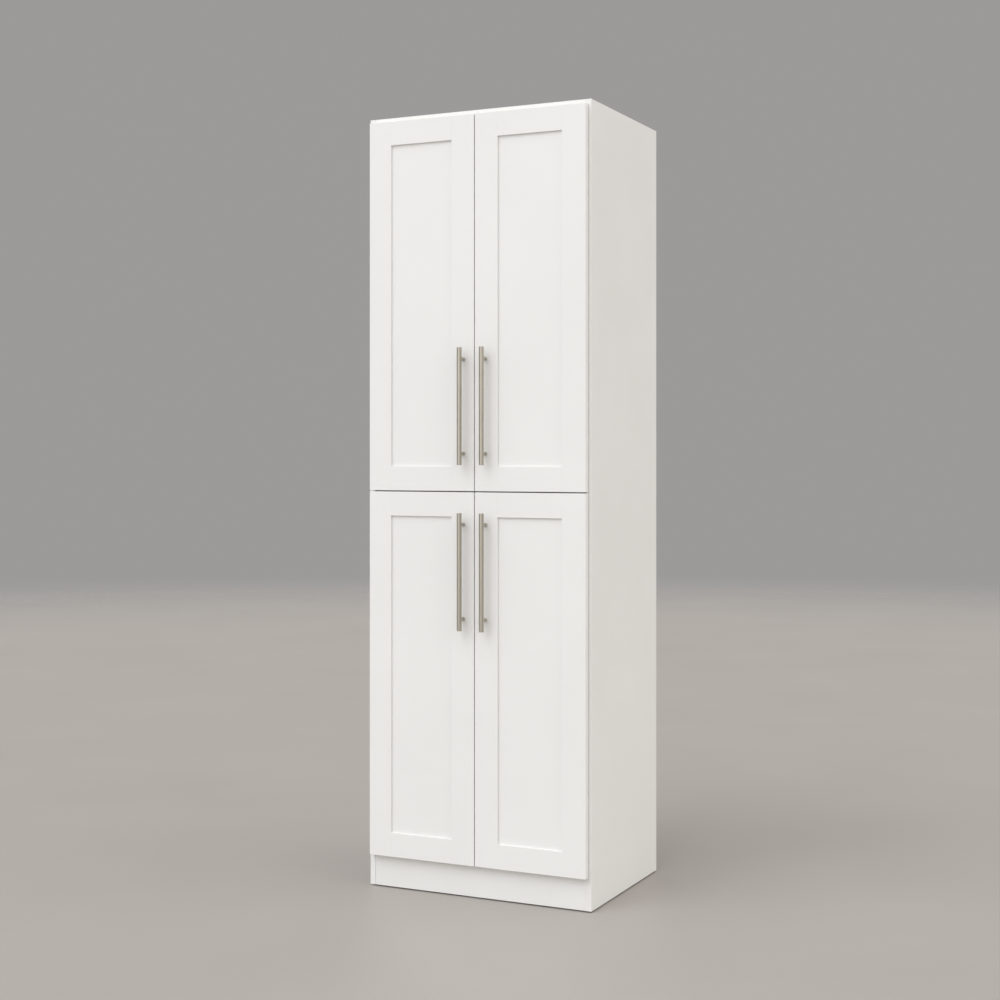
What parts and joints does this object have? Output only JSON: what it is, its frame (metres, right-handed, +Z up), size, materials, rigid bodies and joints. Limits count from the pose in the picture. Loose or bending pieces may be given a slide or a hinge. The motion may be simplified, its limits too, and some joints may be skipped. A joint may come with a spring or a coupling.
{
  "type": "pantry cabinet",
  "caption": "Tall frameless pantry cabinet with upper and lower pairs of shaker doors, bar pulls, concealed hinges, adjustable shelves and a flush plinth.",
  "frame": {"origin": "middle of the footprint, on the floor", "axes": "+Z up; the doors face -Y; +X is to the right of a person facing the doors"},
  "size_m": [0.762, 0.618, 2.438],
  "materials": {
    "white_board": "satin white melamine on board",
    "white_paint": "satin white paint",
    "brushed_nickel": "brushed nickel",
    "nickel_plate": "bright nickel plate"
  },
  "bodies": {
    "carcass": {"left_side_panel": "white_board", "right_side_panel": "white_board", "bottom_panel": "white_board", "middle_fixed_shelf": "white_board", "top_panel": "white_board", "toe_kick_board": "white_board", "hanging_rail": "white_board", "back_panel": "white_board", "lower_adjustable_shelf_1": "white_board", "lower_adjustable_shelf_2": "white_board", "upper_adjustable_shelf_1": "white_board", "upper_adjustable_shelf_2": "white_board", "lower_left_bottom_hinge_arm": "nickel_plate", "lower_left_middle_hinge_arm": "nickel_plate", "lower_left_top_hinge_arm": "nickel_plate", "lower_right_bottom_hinge_arm": "nickel_plate", "lower_right_middle_hinge_arm": "nickel_plate", "lower_right_top_hinge_arm": "nickel_plate", "upper_left_bottom_hinge_arm": "nickel_plate", "upper_left_middle_hinge_arm": "nickel_plate", "upper_left_top_hinge_arm": "nickel_plate", "upper_right_bottom_hinge_arm": "nickel_plate", "upper_right_middle_hinge_arm": "nickel_plate", "upper_right_top_hinge_arm": "nickel_plate"},
    "lower_left_door": {"lower_left_door_hinge_stile": "white_paint", "lower_left_door_meeting_stile": "white_paint", "lower_left_door_bottom_rail": "white_paint", "lower_left_door_top_rail": "white_paint", "lower_left_door_panel": "white_paint", "lower_left_door_pull": "brushed_nickel", "lower_left_bottom_hinge_cup": "nickel_plate", "lower_left_middle_hinge_cup": "nickel_plate", "lower_left_top_hinge_cup": "nickel_plate"},
    "lower_right_door": {"lower_right_door_hinge_stile": "white_paint", "lower_right_door_meeting_stile": "white_paint", "lower_right_door_bottom_rail": "white_paint", "lower_right_door_top_rail": "white_paint", "lower_right_door_panel": "white_paint", "lower_right_door_pull": "brushed_nickel", "lower_right_bottom_hinge_cup": "nickel_plate", "lower_right_middle_hinge_cup": "nickel_plate", "lower_right_top_hinge_cup": "nickel_plate"},
    "upper_left_door": {"upper_left_door_hinge_stile": "white_paint", "upper_left_door_meeting_stile": "white_paint", "upper_left_door_bottom_rail": "white_paint", "upper_left_door_top_rail": "white_paint", "upper_left_door_panel": "white_paint", "upper_left_door_pull": "brushed_nickel", "upper_left_bottom_hinge_cup": "nickel_plate", "upper_left_middle_hinge_cup": "nickel_plate", "upper_left_top_hinge_cup": "nickel_plate"},
    "upper_right_door": {"upper_right_door_hinge_stile": "white_paint", "upper_right_door_meeting_stile": "white_paint", "upper_right_door_bottom_rail": "white_paint", "upper_right_door_top_rail": "white_paint", "upper_right_door_panel": "white_paint", "upper_right_door_pull": "brushed_nickel", "upper_right_bottom_hinge_cup": "nickel_plate", "upper_right_middle_hinge_cup": "nickel_plate", "upper_right_top_hinge_cup": "nickel_plate"}
  },
  "joints": [
    {"name": "lower_left_door_hinge", "type": "hinge", "parent": "carcass", "child": "lower_left_door", "pos_m": [-0.3715, -0.273, 0.1], "axis": [0, 0, -1], "range_deg": [0, 110]},
    {"name": "lower_right_door_hinge", "type": "hinge", "parent": "carcass", "child": "lower_right_door", "pos_m": [0.3715, -0.273, 0.1], "axis": [0, 0, 1], "range_deg": [0, 110]},
    {"name": "upper_left_door_hinge", "type": "hinge", "parent": "carcass", "child": "upper_left_door", "pos_m": [-0.3715, -0.273, 1.25775], "axis": [0, 0, -1], "range_deg": [0, 110]},
    {"name": "upper_right_door_hinge", "type": "hinge", "parent": "carcass", "child": "upper_right_door", "pos_m": [0.3715, -0.273, 1.25775], "axis": [0, 0, 1], "range_deg": [0, 110]}
  ]
}
